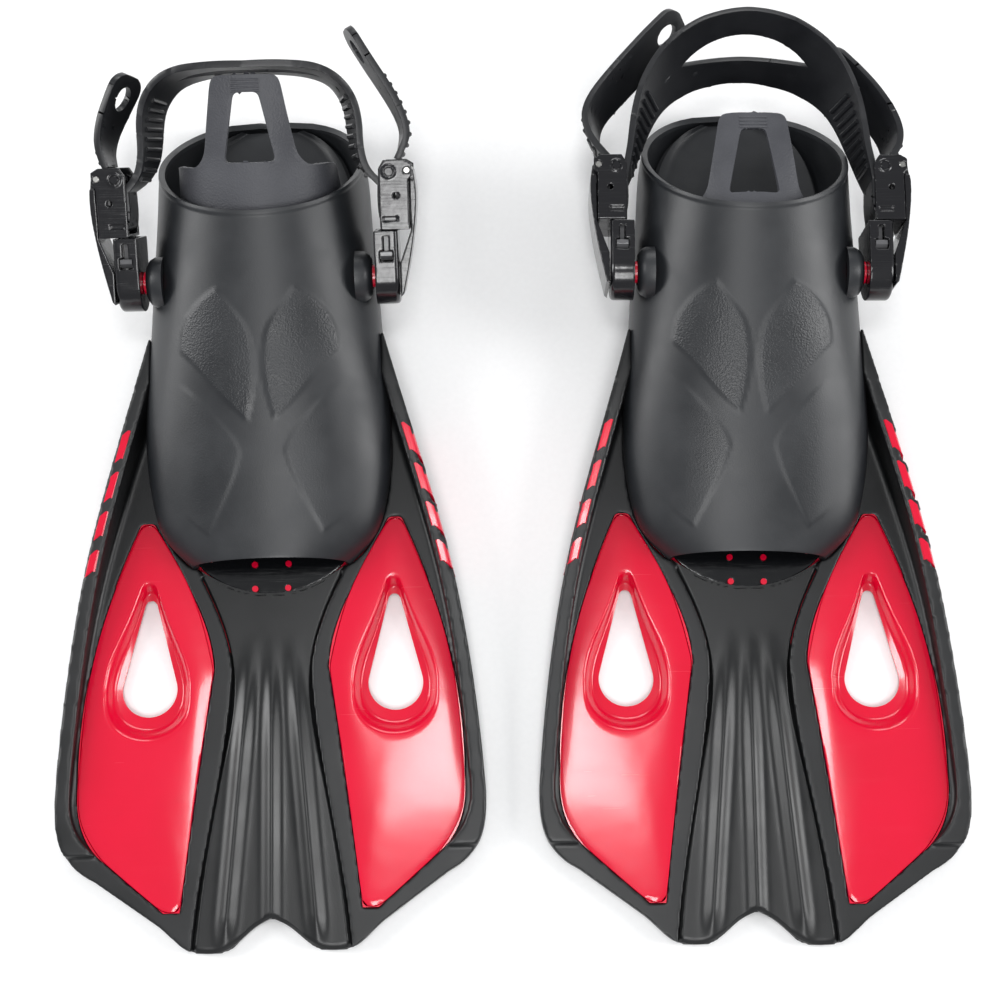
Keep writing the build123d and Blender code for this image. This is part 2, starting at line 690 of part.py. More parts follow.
for fin, setup in FINS.items():
    write(f"{fin}_blade_core", set_down(core, fin))
    write(f"{fin}_blade_frame", set_down(frame, fin))
    write(f"{fin}_centre_channel", set_down(channel, fin))
    write(f"{fin}_foot_pocket", set_down(pocket, fin))
    write(f"{fin}_footbed", set_down(footbed, fin))
    tongue = make_tongue(setup["tongue_slope"], setup["tongue_reach"])
    write(f"{fin}_instep_tongue", set_down(tongue, fin))
    write(f"{fin}_heel_strap", hang(make_strap(fin), fin))
    for place, side in (("outer", setup["side"]), ("inner", -setup["side"])):
        for piece_name, shape in buckle.items():
            at_lug = Location((LUG_X, 0, 0)) * shape
            if side < 0:
                at_lug = mirror(at_lug, about=Plane.YZ)
            write(f"{fin}_{place}_{piece_name}", hang(at_lug, fin))
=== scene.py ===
"""A pair of open-heel swim fins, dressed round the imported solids.

Shapes are drawn in millimetres in each fin's own frame (blade tips at y = 0,
heel towards +Y, sole on z = 0) and set down in metres with placed().
"""
import math

import bmesh
import bpy
import numpy as np
from mathutils import Matrix, Vector


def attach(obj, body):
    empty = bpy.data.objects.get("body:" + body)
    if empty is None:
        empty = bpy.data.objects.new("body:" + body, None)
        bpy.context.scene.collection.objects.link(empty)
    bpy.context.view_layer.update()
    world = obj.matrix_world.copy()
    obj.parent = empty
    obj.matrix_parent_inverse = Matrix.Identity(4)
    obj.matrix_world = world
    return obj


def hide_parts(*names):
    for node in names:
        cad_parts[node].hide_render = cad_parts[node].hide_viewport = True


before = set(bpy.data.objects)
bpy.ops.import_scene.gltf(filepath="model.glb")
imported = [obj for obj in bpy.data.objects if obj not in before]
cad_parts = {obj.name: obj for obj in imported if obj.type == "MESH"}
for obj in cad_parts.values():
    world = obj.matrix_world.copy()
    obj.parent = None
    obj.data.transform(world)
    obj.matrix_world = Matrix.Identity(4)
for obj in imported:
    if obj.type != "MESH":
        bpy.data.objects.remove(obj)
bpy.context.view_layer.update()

MM = 0.001
FIN_SPACING, SPLAY, MID_LENGTH, Y_SHIFT = 232.0, 1.0, 200.0, -224.025
LUG_Y, LUG_Z, LUG_X = 314.0, 50.0, 56.0
RIM_FRONT, RIM_BACK = (335.0, 84.0), (418.0, 8.0)
TONGUE_BEND, INSTEP_SLOPE = (335.0, 76.5), 21.0
WALL, STRAP_THICK, STRAP_WIDTH = 3.0, 3.2, 22.0

FINS = {
    "left": dict(side=-1, swing=26.0, tongue_slope=30.0, tongue_reach=24.5),
    "right": dict(side=1, swing=4.0, tongue_slope=2.0, tongue_reach=8.0),
}
# y, half width and height of the foot pocket
POCKET = [
    (181, 38.0, 29.0), (192, 49.0, 32.0), (208, 56.0, 37.0), (230, 59.5, 44.5), (255, 59.8, 53.5),
    (285, 57.5, 65.0), (315, 55.5, 76.0), (345, 53.2, 87.5), (385, 51.4, 103.0), (425, 50.4, 118.0),
]
# strap centre lines in the buckles' plane, lug axis at the origin: x, distance, lean, width
HEEL_LOOPS = {
    "left": [(53.5, 50.5, 6, 22), (50.0, 58.0, 12, 22), (48.5, 70.0, 16, 23), (46.5, 82.0, 14, 27),
             (38.0, 93.5, 8, 36), (22.0, 98.5, 4, 43), (0.0, 99.5, 2, 45)],
    "right": [(57.8, 53.0, 6, 22), (55.6, 61.0, 10, 22), (52.6, 73.0, 18, 23), (47.3, 88.0, 24, 27),
              (36.3, 103.0, 26, 36), (19.0, 113.5, 26, 43), (0.0, 117.0, 26, 45)],
}
TAILS = {
    ("left", "inner"): [(70.5, 60.5, 4), (72.0, 66.0, 8), (70.0, 76.0, 10), (65.0, 86.0, 12),
                        (58.5, 96.5, 12), (51.5, 108.0, 12), (47.0, 116.0, 12)],
    ("left", "outer"): [(69.8, 60.5, 4), (69.5, 68.0, 12), (66.0, 78.0, 20), (61.0, 88.0, 24),
                        (56.0, 97.5, 26)],
    ("right", "inner"): [(71.8, 60.5, 6), (75.0, 68.0, 14), (75.5, 77.0, 22), (69.0, 89.0, 28),
                         (58.0, 102.0, 32), (45.0, 116.5, 34), (31.0, 131.0, 34)],
    ("right", "outer"): [(70.8, 60.5, 6), (70.8, 68.0, 14), (66.0, 79.0, 22), (58.0, 90.5, 26),
                         (48.5, 101.0, 28), (38.5, 111.0, 28)],
}


# ---- small tools ------------------------------------------------------------
def spline(knots, values, at):
    """Natural cubic spline through values at knots."""
    knots, p, at = np.asarray(knots, float), np.asarray(values, float), np.asarray(at, float)
    n, h = len(knots), np.diff(knots)
    flat = p.reshape(n, -1)
    system, right = np.eye(n), np.zeros_like(flat)
    for i in range(1, n - 1):
        system[i, i - 1:i + 2] = h[i - 1], 2 * (h[i - 1] + h[i]), h[i]
        right[i] = 6 * ((flat[i + 1] - flat[i]) / h[i] - (flat[i] - flat[i - 1]) / h[i - 1])
    bend = np.linalg.solve(system, right)
    k = np.clip(np.searchsorted(knots, at.ravel(), side="right") - 1, 0, n - 2)
    b = ((at.ravel() - knots[k]) / h[k])[:, None]
    a = 1 - b
    out = a * flat[k] + b * flat[k + 1]
    out += ((a ** 3 - a) * bend[k] + (b ** 3 - b) * bend[k + 1]) * (h[k] ** 2)[:, None] / 6
    return out.reshape(at.shape + p.shape[1:])


def lengths(points):
    """Running length along a line of points."""
    steps = np.linalg.norm(np.diff(np.asarray(points, float), axis=0), axis=1)
    return np.concatenate([[0.0], np.cumsum(steps)])


def smooth_line(points, count):
    """count points on a smooth curve through the given ones."""
    run = lengths(points)
    return spline(run, points, np.linspace(0, run[-1], count))


def ramp(x, low, high):
    """Smooth step from 0 at low to 1 at high."""
    t = np.clip((np.asarray(x, float) - low) / (high - low), 0, 1)
    return t * t * (3 - 2 * t)


def placed(fin, points):
    """Fin-frame millimetres to row-frame metres."""
    side = FINS[fin]["side"]
    turn = math.radians(-side * SPLAY)
    p = np.asarray(points, float)
    x, y = p[..., 0], p[..., 1] - MID_LENGTH
    out = np.stack([
        x * math.cos(turn) - y * math.sin(turn) + side * FIN_SPACING / 2,
        x * math.sin(turn) + y * math.cos(turn) + MID_LENGTH + Y_SHIFT,
        p[..., 2],
    ], -1)
    return out * MM


def swung(fin, points):
    """Buckle-plane millimetres (lug axis at the origin) to the fin's frame."""
    turn = math.radians(FINS[fin]["swing"])
    p = np.asarray(points, float)
    y = p[..., 1] * math.cos(turn) - p[..., 2] * math.sin(turn) + LUG_Y
    z = p[..., 1] * math.sin(turn) + p[..., 2] * math.cos(turn) + LUG_Z
    return np.stack([p[..., 0], y, z], -1)


def to_mesh(name, verts, faces):
    """Object from vertices in metres, with seams merged and normals outwards."""
    data = bpy.data.meshes.new(name)
    data.from_pydata([tuple(map(float, v)) for v in verts], [], [tuple(f) for f in faces])
    piece = bpy.data.objects.new(name, data)
    bpy.context.scene.collection.objects.link(piece)
    tidy(piece)
    return piece


def tidy(piece, merge=1e-6):
    """Merge doubles, drop empty faces and point the faces outwards."""
    work = bmesh.new()
    work.from_mesh(piece.data)
    bmesh.ops.remove_doubles(work, verts=work.verts, dist=merge)
    bmesh.ops.dissolve_degenerate(work, edges=work.edges, dist=merge / 2)
    bmesh.ops.recalc_face_normals(work, faces=work.faces)
    work.to_mesh(piece.data)
    work.free()
    piece.data.update()


def applied(piece):
    """Turn the piece's modifiers into plain mesh."""
    graph = bpy.context.evaluated_depsgraph_get()
    data = bpy.data.meshes.new_from_object(piece.evaluated_get(graph))
    piece.modifiers.clear()
    piece.data = data
    return piece


def smooth_by_angle(piece, degrees=35):
    """Smooth shading with sharp edges kept."""
    work = bmesh.new()
    work.from_mesh(piece.data)
    for face in work.faces:
        face.smooth = True
    for edge in work.edges:
        edge.smooth = not (len(edge.link_faces) == 2
                           and edge.calc_face_angle(0.0) > math.radians(degrees))
    work.to_mesh(piece.data)
    work.free()


def dressed(piece, material, body, nodes=(), degrees=35):
    """Give a piece its material, shading, body and the solids it stands for."""
    piece.data.materials.clear()
    piece.data.materials.append(material)
    piece.data.polygons.foreach_set("material_index", [0] * len(piece.data.polygons))
    smooth_by_angle(piece, degrees)
    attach(piece, body)
    if nodes:
        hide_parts(*nodes)
    return piece


def joined(name, parts):
    """One object from several."""
    work = bmesh.new()
    for part in parts:
        work.from_mesh(part.data)
        bpy.data.objects.remove(part)
    data = bpy.data.meshes.new(name)
    work.to_mesh(data)
    work.free()
    piece = bpy.data.objects.new(name, data)
    bpy.context.scene.collection.objects.link(piece)
    return piece


def slab(name, fin, top, bottom):
    """Closed plate between two grids of points."""
    rows, cols = top.shape[:2]
    verts = placed(fin, np.concatenate([top.reshape(-1, 3), bottom.reshape(-1, 3)]))
    below = rows * cols
    faces = []
    for i in range(rows - 1):
        for j in range(cols - 1):
            a = i * cols + j
            quad = [a, a + 1, a + cols + 1, a + cols]
            faces += [quad, [below + k for k in reversed(quad)]]
    edge = [j for j in range(cols)] + [i * cols + cols - 1 for i in range(1, rows)]
    edge += [(rows - 1) * cols + j for j in reversed(range(cols - 1))]
    edge += [i * cols for i in reversed(range(1, rows - 1))]
    for a, b in zip(edge, edge[1:] + edge[:1]):
        faces.append([b, a, below + a, below + b])
    return to_mesh(name, verts, faces)


def flat_sheet(loops, cell):
    """Flat mesh in millimetres inside the first loop and outside the others, cut into cells."""
    curve = bpy.data.curves.new("cut sheet", "CURVE")
    curve.dimensions, curve.fill_mode = "2D", "BOTH"
    for loop in loops:
        line = curve.splines.new("POLY")
        line.points.add(len(loop) - 1)
        for point, (x, y) in zip(line.points, loop):
            point.co = (x, y, 0, 1)
        line.use_cyclic_u = True
    holder = bpy.data.objects.new("cut sheet", curve)
    bpy.context.scene.collection.objects.link(holder)
    bpy.context.view_layer.update()
    flat = bpy.data.meshes.new_from_object(holder.evaluated_get(bpy.context.evaluated_depsgraph_get()))
    bpy.data.objects.remove(holder)
    work = bmesh.new()
    work.from_mesh(flat)
    low, high = np.min(loops[0], axis=0), np.max(loops[0], axis=0)
    for axis, step in ((0, cell[0]), (1, cell[1])):
        normal = (1, 0, 0) if axis == 0 else (0, 1, 0)
        for place in np.arange(low[axis] + step / 2, high[axis], step):
            bmesh.ops.bisect_plane(work, geom=work.verts[:] + work.edges[:] + work.faces[:],
                                   plane_co=[place * n for n in normal], plane_no=normal)
    bmesh.ops.remove_doubles(work, verts=work.verts, dist=0.01)
    # keep the outline and fold slivers into it
    outline = [v for v in work.verts if v.is_boundary]
    found = bmesh.ops.find_doubles(work, verts=work.verts, keep_verts=outline, dist=0.7)
    bmesh.ops.weld_verts(work, targetmap=found["targetmap"])
    outline = [v for v in work.verts if v.is_boundary]
    bmesh.ops.remove_doubles(work, verts=outline, dist=0.45)
    bmesh.ops.dissolve_degenerate(work, edges=work.edges, dist=0.05)
    return work


def bent_sheet(name, fin, loops, cell, bend, thick, rounding):
    """Sheet cut flat, bent by bend(points) into the fin's frame and thickened."""
    work = flat_sheet(loops, cell)
    flat = np.array([v.co[:2] for v in work.verts])
    for vert, place in zip(work.verts, placed(fin, bend(flat))):
        vert.co = place
    bmesh.ops.recalc_face_normals(work, faces=work.faces)
    data = bpy.data.meshes.new(name)
    work.to_mesh(data)
    work.free()
    piece = bpy.data.objects.new(name, data)
    bpy.context.scene.collection.objects.link(piece)
    skin = piece.modifiers.new("thickness", "SOLIDIFY")
    skin.thickness, skin.offset = thick * MM, 0.0
    soft = piece.modifiers.new("edge", "BEVEL")
    soft.width, soft.segments, soft.limit_method = rounding * MM, 2, "ANGLE"
    soft.angle_limit = math.radians(60)
    return applied(piece)


def moulded(node, voxel, passes, name=None):
    """Copy of a CAD solid with its edges rounded as a moulding's are."""
    piece = bpy.data.objects.new(name or node + "_moulding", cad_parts[node].data.copy())
    bpy.context.scene.collection.objects.link(piece)
    tidy(piece)
    remesh = piece.modifiers.new("skin", "REMESH")
    remesh.mode, remesh.voxel_size = "VOXEL", voxel * MM
    relax = piece.modifiers.new("relax", "SMOOTH")
    relax.factor, relax.iterations = 0.5, passes
    return applied(piece)


# ---- materials --------------------------------------------------------------
def linear(code):
    """sRGB hex to linear RGBA."""
    parts = [int(code[i:i + 2], 16) / 255 for i in (1, 3, 5)]
    return tuple(c / 12.92 if c <= 0.04045 else ((c + 0.055) / 1.055) ** 2.4 for c in parts) + (1.0,)


def node(material, kind, inputs=None, **settings):
    """Add a node with its settings, values and links."""
    made = material.node_tree.nodes.new(kind)
    for key, value in settings.items():
        setattr(made, key, value)
    for key, value in (inputs or {}).items():
        if isinstance(value, bpy.types.NodeSocket):
            material.node_tree.links.new(value, made.inputs[key])
        else:
            made.inputs[key].default_value = value
    return made


def blank(name):
    """New material with its shader and object coordinates."""
    material = bpy.data.materials.new(name)
    material.use_nodes = True
    shader = material.node_tree.nodes["Principled BSDF"]
    place = node(material, "ShaderNodeTexCoord").outputs["Object"]
    return material, shader, place


def link(material, source, target):
    material.node_tree.links.new(source, target)


def glossy_polypropylene(name, colour, dark):
    """Injection-moulded polypropylene: deep even colour, hard gloss, faint flow waves."""
    m, shader, place = blank(name)
    shader.inputs["IOR"].default_value = 1.49
    shader.inputs["Subsurface Weight"].default_value = 0.12
    shader.inputs["Subsurface Radius"].default_value = (0.004, 0.001, 0.001)
    shader.inputs["Subsurface Scale"].default_value = 1.0
    shader.inputs["Coat Weight"].default_value = 0.35
    shader.inputs["Coat Roughness"].default_value = 0.08
    # flow marks about 40 mm long shift the colour very slightly
    flow = node(m, "ShaderNodeTexNoise", {"Vector": place, "Scale": 25.0, "Detail": 3.0})
    tone = node(m, "ShaderNodeMix", {0: flow.outputs["Fac"], 6: linear(colour), 7: linear(dark)},
                data_type="RGBA")
    link(m, tone.outputs[2], shader.inputs["Base Color"])
    # handling scuffs: streaks 30 mm long and 0.6 mm wide
    turn = node(m, "ShaderNodeMapping", {"Vector": place, "Rotation": (0, 0, 0.4), "Scale": (30, 900, 30)})
    scuff = node(m, "ShaderNodeTexNoise", {"Vector": turn.outputs[0], "Scale": 1.0, "Detail": 2.0})
    streak = node(m, "ShaderNodeMapRange", {"Value": scuff.outputs["Fac"], "From Min": 0.62,
                                            "From Max": 0.78, "To Min": 0.2, "To Max": 0.29})
    link(m, streak.outputs[0], shader.inputs["Roughness"])
    wave = node(m, "ShaderNodeTexNoise", {"Vector": place, "Scale": 60.0, "Detail": 1.0})
    bump = node(m, "ShaderNodeBump", {"Height": wave.outputs["Fac"], "Strength": 0.06, "Distance": 0.002})
    link(m, bump.outputs[0], shader.inputs["Normal"])
    return m


def satin_rubber(name, colour, worn, rough, grain_mm=0.0, grain_depth=0.0, attribute=None):
    """Thermoplastic rubber: soft broad sheen, cloudy handling marks, optional moulded grain."""
    m, shader, place = blank(name)
    shader.inputs["IOR"].default_value = 1.5
    shader.inputs["Specular IOR Level"].default_value = 0.5
    cloud = node(m, "ShaderNodeTexNoise", {"Vector": place, "Scale": 28.0, "Detail": 6.0, "Roughness": 0.6})
    blotch = node(m, "ShaderNodeMapRange", {"Value": cloud.outputs["Fac"], "From Min": 0.4, "From Max": 0.7})
    tone = node(m, "ShaderNodeMix", {0: blotch.outputs[0], 6: linear(colour), 7: linear(worn)},
                data_type="RGBA")
    link(m, tone.outputs[2], shader.inputs["Base Color"])
    sheen = node(m, "ShaderNodeMapRange", {"Value": cloud.outputs["Fac"], "From Min": 0.3, "From Max": 0.7,
                                           "To Min": rough - 0.06, "To Max": rough + 0.08})
    link(m, sheen.outputs[0], shader.inputs["Roughness"])
    # spark-eroded mould finish, 0.35 mm, drawn everywhere
    fine = node(m, "ShaderNodeTexNoise", {"Vector": place, "Scale": 1600.0, "Detail": 2.0})
    bump = node(m, "ShaderNodeBump", {"Height": fine.outputs["Fac"], "Strength": 0.12, "Distance": 0.0003})
    if grain_mm:
        cells = node(m, "ShaderNodeTexVoronoi", {"Vector": place, "Scale": 1000.0 / grain_mm},
                     feature="SMOOTH_F1")
        depth = cells.outputs["Distance"]
        if attribute:
            where = node(m, "ShaderNodeAttribute", attribute_name=attribute)
            depth = node(m, "ShaderNodeMath", {0: depth, 1: where.outputs["Fac"]},
                         operation="MULTIPLY").outputs[0]
        bump = node(m, "ShaderNodeBump", {"Height": depth, "Strength": 0.9, "Distance": grain_depth * MM,
                                          "Normal": bump.outputs[0]})
    link(m, bump.outputs[0], shader.inputs["Normal"])
    return m


def gloss_nylon(name, colour, rough):
    """Glass-smooth moulded nylon or acetal: tight highlights and hairline scratches."""
    m, shader, place = blank(name)
    shader.inputs["Base Color"].default_value = linear(colour)
    shader.inputs["IOR"].default_value = 1.53
    hair = node(m, "ShaderNodeMapping", {"Vector": place, "Rotation": (0.3, 0.2, 0.9), "Scale": (60, 2200, 60)})
    marks = node(m, "ShaderNodeTexNoise", {"Vector": hair.outputs[0], "Scale": 1.0, "Detail": 3.0})
    polish = node(m, "ShaderNodeMapRange", {"Value": marks.outputs["Fac"], "From Min": 0.5, "From Max": 0.75,
                                            "To Min": rough, "To Max": rough + 0.15})
    link(m, polish.outputs[0], shader.inputs["Roughness"])
    ripple = node(m, "ShaderNodeTexNoise", {"Vector": place, "Scale": 220.0, "Detail": 1.0})
    bump = node(m, "ShaderNodeBump", {"Height": ripple.outputs["Fac"], "Strength": 0.15, "Distance": 0.0004})
    link(m, bump.outputs[0], shader.inputs["Normal"])
    return m


def drawn_steel(name):
    """Stainless spring wire and pins: bright, with fine drawing lines along the pin."""
    m, shader, place = blank(name)
    shader.inputs["Base Color"].default_value = linear("#B9B8B4")
    shader.inputs["Metallic"].default_value = 1.0
    lines = node(m, "ShaderNodeMapping", {"Vector": place, "Scale": (4000, 4000, 200)})
    streak = node(m, "ShaderNodeTexNoise", {"Vector": lines.outputs[0], "Scale": 1.0, "Detail": 2.0})
    polish = node(m, "ShaderNodeMapRange", {"Value": streak.outputs["Fac"], "To Min": 0.2, "To Max": 0.4})
    link(m, polish.outputs[0], shader.inputs["Roughness"])
    return m


RED = glossy_polypropylene("red polypropylene", "#DA0433", "#CB0329")
FRAME_RUBBER = satin_rubber("satin black frame rubber", "#101112", "#17181A", 0.4)
CHANNEL_RUBBER = satin_rubber("satin black channel rubber", "#0F1011", "#151617", 0.34)
POCKET_RUBBER = satin_rubber("soft foot pocket rubber", "#1E2023", "#282A2D", 0.4, 0.8, 0.16, "grain")
TONGUE_RUBBER = satin_rubber("grained tongue rubber", "#3A3B40", "#45464B", 0.5, 0.8, 0.16)
STRAP_RUBBER = satin_rubber("satin strap rubber", "#151619", "#1E1F22", 0.38)
INSOLE = gloss_nylon("glossy insole plastic", "#0E0F11", 0.12)
BUCKLE = gloss_nylon("glossy black nylon", "#141417", 0.16)
# the prongs' mid grey is a painted highlight: dark gloss plastic lightened to stand in for the bright glint on
# them
PRONG_GLINT_GREY = gloss_nylon("acetal lightened as painted glint", "#5A5A5C", 0.2)
STEEL = drawn_steel("stainless spring steel")


# ---- blade panels -----------------------------------------------------------
def rounded_loop(points, count, passes):
    """Closed loop resampled evenly, its corners rounded."""
    closed = np.vstack([points, points[:1]])
    run = lengths(closed)
    at = np.linspace(0, run[-1], count, endpoint=False)
    loop = np.stack([np.interp(at, run, closed[:, k]) for k in (0, 1)], 1)
    for _ in range(passes):
        loop = 0.5 * loop + 0.25 * (np.roll(loop, 1, 0) + np.roll(loop, -1, 0))
    return loop


def panel_outline():
    """Right panel: a kite, long towards the toe."""
    outer = smooth_line([(63.5, 204), (76, 172), (87, 130), (91.3, 80)], 60)
    heel = smooth_line([(91.3, 80), (89.4, 60), (80, 43.5)], 30)
    lower = smooth_line([(80, 43.5), (65, 30.5), (50, 18)], 30)
    inner = smooth_line([(42.5, 18), (34.5, 82), (27.6, 131)], 60)
    upper = smooth_line([(27.6, 131), (36.5, 164), (57.5, 204)], 40)
    return rounded_loop(np.vstack([outer, heel[1:], lower[1:], inner, upper[1:]]), 420, 14)


def teardrop(low, low_r, high, high_r, x=59.2):
    """Outline of the hull of two circles, one above the other."""
    lean = math.asin((low_r - high_r) / (high - low))
    below = np.linspace(-math.pi - lean, lean, 90)
    above = np.linspace(lean, math.pi - lean, 40)
    return rounded_loop(np.vstack([
        np.stack([x + low_r * np.cos(below), low + low_r * np.sin(below)], 1),
        np.stack([x + high_r * np.cos(above), high + high_r * np.sin(above)], 1),
    ]), 500, 3)


def reach(loop, centre, angles):
    """Distance from a centre to a loop at each angle."""
    away = loop - centre
    order = np.argsort(np.arctan2(away[:, 1], away[:, 0]))
    theta = np.arctan2(away[:, 1], away[:, 0])[order]
    return np.interp(angles, theta, np.hypot(*away.T)[order], period=2 * math.pi)


def make_panel(fin, side):
    """Red panel: crowned face, a scooped funnel and the teardrop vent."""
    centre = np.array([59.2, 128.0])
    angles = np.linspace(-math.pi, math.pi, 240, endpoint=False)
    ray = np.stack([np.cos(angles), np.sin(angles)], 1)
    hole = reach(teardrop(123.2, 13.2, 164.0, 3.0), centre, angles)
    edge = reach(panel_outline(), centre, angles)
    scoop = 8.0 + 5.0 * ramp(-np.sin(angles), 0.3, 1.0)
    scoop = np.minimum(scoop, 0.72 * (edge - hole))
    rows = []
    for t in np.concatenate([np.linspace(0, 0.4, 22), np.linspace(0.4, 0.975, 20)[1:]]):
        # the first rows follow the funnel, the last ones the outline
        near = hole + scoop * t / 0.4
        far = hole + scoop + (edge - hole - scoop) * (t - 0.4) / 0.6
        radius = near if t <= 0.4 else far
        wall = ramp(t, 0.14, 0.40)
        crown = 0.9 * (1 - ((np.clip(t, 0.4, 1) - 0.4) / 0.6) ** 2)
        height = 3.6 + 0.5 * min(t / 0.14, 1.0) + (5.0 + crown) * wall
        rows.append((radius, np.full(len(angles), height)))
    round_steps = np.linspace(0, math.pi / 2, 5)[1:]
    for a in round_steps:
        height = 8.4 + 0.7 * math.cos(a)
        rows.append((edge - 0.8 + 0.7 * math.sin(a), np.full(len(angles), height)))
    rows.append((edge - 0.1, np.full(len(angles), 3.8)))
    rows.append((hole + 6.0, np.full(len(angles), 3.8)))
    rows.append((hole + 5.0, np.full(len(angles), 1.7)))
    rows.append((hole + 0.4, np.full(len(angles), 1.7)))
    rows.append((hole, np.full(len(angles), 2.1)))
    verts = np.array([np.column_stack([centre + ray * r[:, None], z]) for r, z in rows])
    verts[..., 0] *= side
    many, across = len(rows), len(angles)
    faces = []
    for i in range(many):
        for j in range(across):
            k, n = (i + 1) % many, (j + 1) % across
            faces.append([i * across + j, i * across + n, k * across + n, k * across + j])
    name = f"{fin}_panel_{'right' if side > 0 else 'left'}"
    return to_mesh(name, placed(fin, verts.reshape(-1, 3)), faces)


def make_core_rest(fin):
    """The hard core without its panels: rail strips, insole pins and strap lugs."""
    piece = bpy.data.objects.new(f"{fin}_core_lugs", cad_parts[f"{fin}_blade_core"].data.copy())
    bpy.context.scene.collection.objects.link(piece)
    tidy(piece)
    cutters = []
    for side in (1, -1):
        loop = panel_outline() * (side, 1)
        top = np.column_stack([loop, np.full(len(loop), 12.0)])
        low = np.column_stack([loop, np.full(len(loop), -1.0)])
        n = len(loop)
        faces = [[i, (i + 1) % n, n + (i + 1) % n, n + i] for i in range(n)]
        faces += [list(range(n)), list(range(2 * n - 1, n - 1, -1))]
        cutters.append(to_mesh("panel cutter", placed(fin, np.vstack([top, low])), faces))
        # the arms to the lugs run inside the pocket's wall, so only the lugs stay
        box = np.array([(x, y, z) for x in (44, 51.2) for y in (300, 328) for z in (6.4, 43.2)])
        box[:, 0] *= side
        cutters.append(to_mesh("arm cutter", placed(fin, box), [
            (0, 1, 3, 2), (4, 6, 7, 5), (0, 4, 5, 1), (2, 3, 7, 6), (0, 2, 6, 4), (1, 5, 7, 3)]))
    for cutter in cutters:
        cut = piece.modifiers.new("cut", "BOOLEAN")
        cut.object, cut.operation, cut.solver = cutter, "DIFFERENCE", "EXACT"
    applied(piece)
    for cutter in cutters:
        bpy.data.objects.remove(cutter)
    return piece


def rail_edge(y):
    """x of the rail's outer side at y."""
    return spline([70, 125, 180, 234, 292], [101.2, 96.5, 87.5, 73.5, 57.5], y)


def rail_top(y):
    """Height of the rail at y."""
    return np.interp(y, [30, 60, 130, 200, 250, 293], [9.4, 13.5, 18, 26, 31, 33])


def make_rail_windows(fin):
    """Red strips that show in four slanted windows over each rail's outer edge."""
    parts = []
    for side in (1, -1):
        for start, length in ((178, 10), (195, 11.5), (213, 12.5), (232, 13.5)):
            t, v = np.meshgrid(np.linspace(0, 1, 12), np.linspace(0, 1, 10))
            # from the top of the rail over its rounded edge and down the side
            lie = np.interp(t, [0, 0.45, 0.6, 1], [-4.6, -1.4, -0.2, 0.3])
            fall = np.interp(t, [0, 0.45, 0.6, 1], [0.45, 0.25, -1.2, -9.0])
            y = start + length * v - 7.5 * (t - 0.2) * ramp(t, 0, 0.2)
            x = rail_edge(y) + lie
            top = np.stack([side * x, y, rail_top(y) + fall], -1)
            below = top - np.stack([side * np.full_like(x, 1.2), 0 * x, np.full_like(x, 1.2)], -1)
            parts.append(slab("window", fin, top, below))
    return joined(f"{fin}_rail_windows", parts)


# ---- centre channel ---------------------------------------------------------
def channel_half(y):
    """Half width of the channel at y."""
    return spline([-4, 34, 82, 131, 153, 182], [37.5, 33.0, 24.5, 19.0, 24.0, 37.0], y)


def toe_edge(x):
    """y of the blade's toe edge at x: a notch between two lobes."""
    return spline([0, 9, 18, 28, 37, 44], [14.0, 9.2, 1.8, -1.1, 0.4, 4.6], np.abs(x))


def make_channel(fin):
    """Centre channel: three long ridges that fade out towards the foot."""
    u = np.linspace(-1, 1, 121)
    v = np.linspace(0, 1, 150)
    uu, vv = np.meshgrid(u, v)
    y = 168 * vv
    for _ in range(12):
        x = uu * (channel_half(y) - 0.25)
        end = 168.2 + 13.0 * (np.abs(x) / 36) ** 2
        y = toe_edge(x) + 0.6 + (end - toe_edge(x) - 0.6) * vv
    grow = ramp(150 - y, 0, 60) * ramp(y, -4, 16)
    z = np.full_like(x, 7.6)
    for side in (-1, 1):
        z += 3.3 * grow * np.exp(-((x - side * (10.0 + 0.085 * (140 - y))) / 3.6) ** 2)
    z += 2.9 * grow * np.exp(-(x / 3.3) ** 2)
    # the web sinks at the groove beside the frame, and rounds over at the toe
    z -= 1.1 * ramp(np.abs(uu), 0.955, 1.0)
    z -= 1.6 * (1 - ramp(vv, 0.0, 0.012))
    top = np.stack([x, y, z], -1)
    bottom = np.stack([x, y, np.full_like(x, 3.0)], -1)
    return slab(f"{fin}_channel_web", fin, top, bottom)


# ---- foot pocket ------------------------------------------------------------
def inside(x, y, loop):
    """Signed distance to a closed loop, positive inside."""
    loop = np.asarray(loop, float)
    shape = x.shape
    p = np.stack([x.ravel(), y.ravel()], 1)
    best = np.full(len(p), 1e9)
    within = np.zeros(len(p), bool)
    for a, b in zip(loop, np.roll(loop, -1, 0)):
        side = b - a
        t = np.clip(((p - a) @ side) / (side @ side), 0, 1)
        best = np.minimum(best, np.linalg.norm(p - a - t[:, None] * side, axis=1))
        crosses = (a[1] > p[:, 1]) != (b[1] > p[:, 1])
        with np.errstate(divide="ignore", invalid="ignore"):
            within ^= crosses & (p[:, 0] < (b[0] - a[0]) * (p[:, 1] - a[1]) / (b[1] - a[1]) + a[0])
    return np.where(within, best, -best).reshape(shape)


LEAF = np.vstack([
    smooth_line([(18.3, 303), (11.3, 293.6), (5.1, 284.6), (2.4, 273), (3.2, 256.4), (6.5, 243.3)], 40),
    smooth_line([(6.5, 243.3), (18.9, 255.4), (29.2, 268), (38.0, 277.5)], 24)[1:],
    smooth_line([(38.0, 277.5), (36.5, 287), (29.0, 297), (18.3, 303)], 24)[1:-1],
])
PATCH = np.vstack([
    smooth_line([(10.4, 229.4), (12.6, 234.5), (18.5, 242.2), (30, 255), (44, 266)], 36),
    smooth_line([(44, 266), (50, 246), (48, 222), (38, 202), (27.4, 193)], 30)[1:],
    smooth_line([(27.4, 193), (19.9, 207), (13.3, 220.4), (10.4, 229.4)], 30)[1:-1],
])


